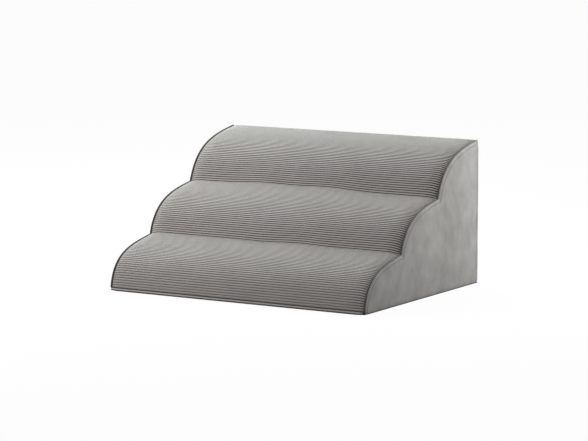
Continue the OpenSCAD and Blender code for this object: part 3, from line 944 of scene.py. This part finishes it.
def on_base(x, y, behind):
    edge = min(SIDE_X - abs(x), y - BASE_FRONT, REAR_Y - y)
    round_off = ROUND_OFF * max(0, 1 - edge / ROUND_W) ** 2
    lead = band_lead(x) + BASE_LIP * ease((SIDE_X - abs(x)) / BAND_CORNER)
    y -= lead * max(0, 1 - (y - BASE_FRONT) / LIP_REACH)
    front = BASE_FRONT - lead
    near = max(0, 1 - (y - front) / HEM_REACH)
    x *= 1 - HEM_TUCK / SIDE_X * near
    if behind:
        return Vector((x, y, BASE_T + BASE_HEM * near - round_off))
    return Vector((x, y, CLOTH_LOW * (1 - HEM_DIP * near) + round_off))


base_marks = mm(0, 0.3, 0.7, 1.2, 3)
base_columns = between(SIDE_X, -SIDE_X, base_marks, base_marks, 40)
base_rows = between(BASE_FRONT, REAR_Y, base_marks, base_marks, 30)
base_work = closed(lined_grid(base_columns, base_rows, on_base))
base = hang(base_work, "base_cloth", base_weave(), "base_fabric", ["base_panel"])

# %% Drops
DROP_D, DROP_STEP, DROP_FLAT = 3.2 * MM, 12 * MM, 0.375
drop_plastic = speckled("moulded_soft_pvc_drops", 1500, 1, "#232325", "#2f2f31", 0.42, 0.05 * MM, 0.3)
drop_work = bmesh.new()
first_drop = Vector((8 * MM - SIDE_X, BASE_FRONT + 7 * MM, CLOTH_LOW + 0.3 * MM))  # its widest part is in the cloth
for corner in (first_drop, first_drop + Vector((DROP_STEP / 2, DROP_STEP / 2, 0))):
    flatten = Matrix.Translation(corner) @ Matrix.Diagonal((1, 1, DROP_FLAT, 1))
    bmesh.ops.create_uvsphere(drop_work, u_segments=8, v_segments=4, radius=DROP_D / 2, matrix=flatten)
bmesh.ops.bisect_plane(drop_work, geom=drop_work.verts[:] + drop_work.edges[:] + drop_work.faces[:],
                       plane_co=first_drop, plane_no=(0, 0, 1), clear_outer=True)
drops = hang(capped(drop_work), "base_drops", drop_plastic, "base_fabric")
for count, way in ((58, (DROP_STEP, 0, 0)), (45, (0, DROP_STEP, 0))):
    repeat = drops.modifiers.new("repeat", "ARRAY")
    repeat.count = count
    repeat.use_relative_offset = False
    repeat.use_constant_offset = True
    repeat.constant_offset_displace = way

# %% [markdown]
# ## Zip
#
# A coil zip is a nylon wire wound into a flat spiral and sewn along the edge of a woven tape. A small ring swept
# round an axis while it moves along it makes the spiral, which is what the spin operator does when it is given a
# step. The slider, the stops and the pull tab are the solids' own shapes with their edges rounded. Drawn nylon is
# smooth, so each turn has a fine bright line; nickel plate on cast zinc is metal with blurred reflections.

# %% Zip materials
def zip_weave():
    material, where = new_material("woven_polyester_zip_tape")
    slant = add(material, "Mapping", {"Vector": where["Object"], "Rotation": (0, radians(35), 0)})["Vector"]
    threads = add(material, "TexWave", {"Vector": slant, "Scale": 380, "Distortion": 0.2},
                  bands_direction="X")["Fac"]  # herringbone threads 0.8 mm apart
    colour = add(material, "Mix", {0: threads, COLOUR_A: "#3e3e41", COLOUR_B: "#515154"}, data_type="RGBA")
    return finish(material, colour[COLOUR_OUT], 0.8, threads, 0.1 * MM, 0.5)


tape_cloth = zip_weave()
coil_nylon = speckled("drawn_nylon_coil", 400, 2, "#2b2b2e", "#39393c", (0.3, 0.42), Specular_IOR_Level=0.5)
plated_zinc = speckled("die_cast_zinc_dark_nickel_plate", 700, 4, "#85888c", "#9a9da1", (0.26, 0.4), 0.02 * MM, 0.2,
                       Metallic=1.0)

# %% Tapes and coils
TAPE_Y, TAPE_T = 275.5 * MM, 0.6 * MM
TAPE_EDGE, TAPE_THIN = 0.5 * MM, 0.4  # at the coil the tape is this share thinner
CHAIN_X, GAP = 332 * MM, 0.7 * MM
COIL_PITCH, COIL_R, COIL_Z = 1.4 * MM, 0.85 * MM, 1.8 * MM
COIL_WIDE = 1.62  # the spiral is wider than it is high
COIL_START = 0.4 * MM
WIRE_R = 0.3 * MM
TURN_STEPS = 9


def zip_tape(end, side):
    def place(x, v, behind):
        thick = 0 if behind else TAPE_T * (1 - TAPE_THIN * max(0, 1 - v / TAPE_EDGE))
        return Vector((x, TAPE_Y + thick, ZIP_Z + side * (GAP + v)))

    work = lined_grid(spread(-SEAM_X, SEAM_X, 60), mm(0, 0.3, 0.6, 3, 6, 9, 12, 14.4, 15), place)
    hang(closed(work), "woven_tape_" + end, tape_cloth, "zip_tape", ["zip_tape_" + end])


def zip_coil(end, side):
    """One turn of the spiral, laid again and again a pitch further on; every turn welds to the one before."""
    start_x = COIL_PITCH / 4 * side + COIL_START - CHAIN_X
    turn = bmesh.new()
    bmesh.ops.create_circle(turn, segments=5, radius=WIRE_R, matrix=Matrix.Translation((0, COIL_R - WIRE_R, 0)))
    bmesh.ops.spin(turn, geom=turn.verts[:] + turn.edges[:], cent=(0, 0, 0), axis=(1, 0, 0), use_merge=False,
                   dvec=(COIL_PITCH / TURN_STEPS, 0, 0), angle=tau, steps=TURN_STEPS)
    bmesh.ops.scale(turn, verts=turn.verts, vec=(1, 1, COIL_WIDE))
    bmesh.ops.translate(turn, verts=turn.verts, vec=(start_x, TAPE_Y + TAPE_T + COIL_R, ZIP_Z + side * COIL_Z))
    one = mesh_from(turn, "turn")
    work = bmesh.new()
    for count in range(round(2 * CHAIN_X / COIL_PITCH)):
        work.from_mesh(one)
        one.transform(Matrix.Translation((COIL_PITCH, 0, 0)))
    bpy.data.meshes.remove(one)
    hang(capped(work), "nylon_spiral_" + end, coil_nylon, "zip_coil", ["zip_coil_" + end])


for end, side in (("upper", 1), ("lower", -1)):
    zip_tape(end, side)
    zip_coil(end, side)


# %% Copies of solids with rounded edges
def rounded(name, material, slot, body, radius, segments=2, sharp=35):
    work = bmesh.new()
    work.from_mesh(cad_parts[name].data)
    bmesh.ops.remove_doubles(work, verts=work.verts[:], dist=WELD)
    bmesh.ops.dissolve_limit(work, angle_limit=radians(2), verts=work.verts[:], edges=work.edges[:])
    edges = [e for e in work.edges if e.is_manifold and e.calc_face_angle(0) > radians(sharp)]
    bmesh.ops.bevel(work, geom=edges, offset=radius, offset_type="OFFSET", segments=segments, profile=0.5,
                    affect="EDGES", material=-1, clamp_overlap=True)
    return hang(closed(work), name + "_finished", material, slot, [name], body, sharp=40)


METAL_R, STOP_R, FOAM_R, LINER_R = mm(0.22, 0.3, 1, 0.08)
for name, body, radius in (("zip_slider", "slider", METAL_R), ("pull_tab", "tab", METAL_R),
                           ("zip_top_stops", "stairs", STOP_R), ("zip_bottom_stop", "stairs", STOP_R)):
    rounded(name, plated_zinc, "zip_metal", body, radius)

# %% [markdown]
# ## Foam and liner
#
# Inside the cover are three sheets of firm foam, a softer topper on each step, and a thin bag that keeps wet out.
# They don't show, but someone who takes the cover off meets them, so they get cut edges that are slightly soft and
# their own materials. Cut foam is matt and its open cells make it grainy; the bag's coating gives it a satin shine
# over fine dimples.

# %% Foam and liner
def dimpled(name, dimple, cloud, dark, light, roughness, depth, strength, feature="F1"):
    material, where = new_material(name)
    cells = add(material, "TexVoronoi", {"Vector": where["Object"], "Scale": dimple}, feature=feature)["Distance"]
    cloudy = add(material, "TexNoise", {"Vector": where["Object"], "Scale": cloud, "Detail": 3})["Fac"]
    colour = add(material, "Mix", {0: cloudy, COLOUR_A: dark, COLOUR_B: light}, data_type="RGBA")[COLOUR_OUT]
    return finish(material, colour, roughness, cells, depth, strength)


FOAM_LOOK = (0.95, 0.5 * MM, 0.6)
firm_foam = dimpled("cut_polyurethane_foam_firm", 650, 25, "#d4cdb6", "#dfd9c5", *FOAM_LOOK)  # cells of 1.5 mm
soft_foam = dimpled("cut_polyurethane_foam_soft", 650, 25, "#eae3cf", "#f3eede", *FOAM_LOOK)
liner_cloth = dimpled("coated_nonwoven_liner", 400, 40, "#e2e7eb", "#eff2f4", 0.4, 0.1 * MM, 0.5, "SMOOTH_F1")
for level in LEVELS:
    for part, material, slot in (("_slab", firm_foam, "support_foam"), ("_topper", soft_foam, "topper_foam")):
        foam = rounded(level + part, material, slot, "stairs", FOAM_R)
rounded("inner_liner", liner_cloth, "liner_fabric", "stairs", LINER_R, 1)

# %% [markdown]
# ## Topstitching
#
# A row of thread holds the seam allowance down, a centimetre in from the seams of the sides and the back, and another
# holds each fold along the zip. Each stitch is a grain of rice lying in its groove, six millimetres from the next.
# Spun polyester is a little fuzzy, so a stitch has no hard light on it.

# %% Stitches
THREAD_LOOK = (0.7, 0.05 * MM, 0.4)
# the scalloped rows' thread is darker than the back's: the thread's tone with painted shade of the groove it lies in
seam_thread = speckled("spun_polyester_thread_painted_groove_shade", 2500, 1, "#6b6965", "#807e7a", *THREAD_LOOK, Sheen_Weight=0.2)
back_thread = speckled("spun_polyester_thread_grey", 2500, 1, "#8e8d8a", "#a09f9c", *THREAD_LOOK, Sheen_Weight=0.2)
STITCH_L, STITCH_STEP, THREAD_R = 3.6 * MM, 5.9 * MM, 0.35 * MM
STITCH_START = 2 * MM  # how far above the toe and the base a row starts
ball = bmesh.new()
bmesh.ops.create_uvsphere(ball, u_segments=5, v_segments=4, radius=THREAD_R)
grain = mesh_from(ball, "stitch")


def stitch(work, start, end):
    """One stitch between two points: the ball drawn out to its length and laid along its way."""
    way = end - start
    turn = way.to_track_quat("Z", "Y").to_matrix().to_4x4()
    drawn_out = Matrix.Diagonal((1, 1, way.length / 2 / THREAD_R, 1))
    one = grain.copy()
    one.transform(Matrix.Translation((start + end) / 2) @ turn @ drawn_out)
    work.from_mesh(one)
    bpy.data.meshes.remove(one)


def stitch_along(work, points):
    path, s = Line(points), 0
    while s + STITCH_L < path.length:
        stitch(work, path.at(s)[0], path.at(s + STITCH_L)[0])
        s += STITCH_STEP


def side_topstitch(hand, side):
    """Sews the scalloped row of one side, and notes the row at its back edge, which has the back's thread."""
    seed, seam_path, back_path = side * 3, [], []
    for s in side_stations:
        if s > toe_l + STITCH_START:
            point, depth = side_point(s, SEAM_STITCH)
            lift = fullness(point, depth, seed) + pucker(s, depth, seed) - drawn_in(side, s, depth)
            lift -= STITCH_DEPTH[SEAM_STITCH] - THREAD_RISE
            seam_path.append(Vector((side * (SIDE_X + lift), point.y, point.z)))
    for z in spread(BASE_T + STITCH_START, TOP_Z - SEAM_STITCH - STITCH_START, 90):
        point = Vector((0, REAR_Y - BACK_STITCH, z))
        lift = fullness(point, TOP_Z - z, seed) - STITCH_DEPTH[BACK_STITCH] + THREAD_RISE
        back_path.append(Vector((side * (SIDE_X + lift), point.y, z)))
    work = bmesh.new()
    stitch_along(work, seam_path)
    back_seams.append(back_path)
    hang(work, "topstitch_" + hand, seam_thread, "plush_fabric")


for hand, side in HANDS:
    side_topstitch(hand, side)
back_work = bmesh.new()
for points in back_seams:
    stitch_along(back_work, points)
hang(back_work, "topstitch_back", back_thread, "plush_fabric")

# %% [markdown]
# ## Light, floor and background
#
# Five soft lamps stand close round the stairs, as in a small product studio: the strongest light comes from behind,
# so the treads are bright and the risers fall into soft shade, which is what shows the crowns. The light from behind
# is a little cooler than the light in front, and an even sky fills in. The floor and the sky are white for the camera
# and for mirror-like surfaces, and duller for the light that they send back to the cloth.

# %% Floor
def white_where_seen(material):
    """1 for rays from the camera, from mirrors and through glass, which should find a white background."""
    path = add(material, "LightPath", {})
    seen = path["Is Camera Ray"]
    for ray in ("Is Glossy Ray", "Is Transmission Ray"):
        seen = add(material, "Math", {0: seen, 1: path[ray]}, operation="MAXIMUM")[0]
    return seen


def floor_material():
    material, where = new_material("pale_matt_floor")
    seen = white_where_seen(material)
    grain = add(material, "TexNoise", {"Vector": where["Object"], "Scale": 30, "Detail": 2})["Fac"]
    tone = add(material, "Mix", {0: grain, COLOUR_A: "#6e6e6d", COLOUR_B: "#727271"}, data_type="RGBA")
    shown = add(material, "Mix", {0: seen, COLOUR_A: tone[COLOUR_OUT], COLOUR_B: (0.95, 0.95, 0.95, 1)},
                data_type="RGBA")
    dull = add(material, "BsdfDiffuse", {"Color": shown[COLOUR_OUT]})["BSDF"]
    white = add(material, "Emission", {"Color": (1, 1, 1, 1), "Strength": 1.0})["Emission"]
    share = add(material, "Math", {0: seen, 1: 0.96}, operation="MULTIPLY")[0]
    both = add(material, "MixShader", {0: share, 1: dull, 2: white})["Shader"]
    add(material, "OutputMaterial", {"Surface": both})
    return material


floor_work = bmesh.new()
bmesh.ops.create_grid(floor_work, x_segments=2, y_segments=2, size=20)
floor = put("floor", mesh_from(floor_work, "floor"))
floor.data.materials.append(floor_material())

# %% Sky and lamps
world = bpy.data.worlds.new("studio")
bpy.context.scene.world = world
world.use_nodes = True
world.node_tree.nodes.clear()
seen = white_where_seen(world)
sky = add(world, "Background", {"Color": (1, 1, 1, 1), "Strength": 0.25})["Background"]
white = add(world, "Background", {"Color": (1, 1, 1, 1), "Strength": 1.0})["Background"]
both = add(world, "MixShader", {0: seen, 1: sky, 2: white})["Shader"]
add(world, "OutputWorld", {"Surface": both})
LIT_POINT = Vector((0, 0, 0.15))


def lamp(name, place, size, power, colour):
    light = bpy.data.lights.new(name, "AREA")
    light.shape, light.size, light.energy, light.color = "SQUARE", size, power, colour
    made = put(name, light)
    made.location = place
    made.rotation_euler = (Vector(place) - LIT_POINT).to_track_quat("Z", "Y").to_euler()
    made.visible_camera = False


lamp("back_left", (-1.6, 1.6, 2.413), 1.6, 60, (0.93, 1, 1))
lamp("left", (-1.3, -0.1, 1.0), 0.8, 10, (0.98, 0.98, 1))
lamp("back_right", (0.95, 0.65, 0.65), 0.6, 8.6, (1, 0.97, 0.95))
lamp("above", (-0.6, 0.6, 1.1), 0.8, 3, (0.9, 1, 1))
lamp("front", (-0.8, -1.5, 0.5), 0.8, 7.3, (1, 0.9, 0.91))
bpy.context.scene.view_settings.view_transform = "Standard"
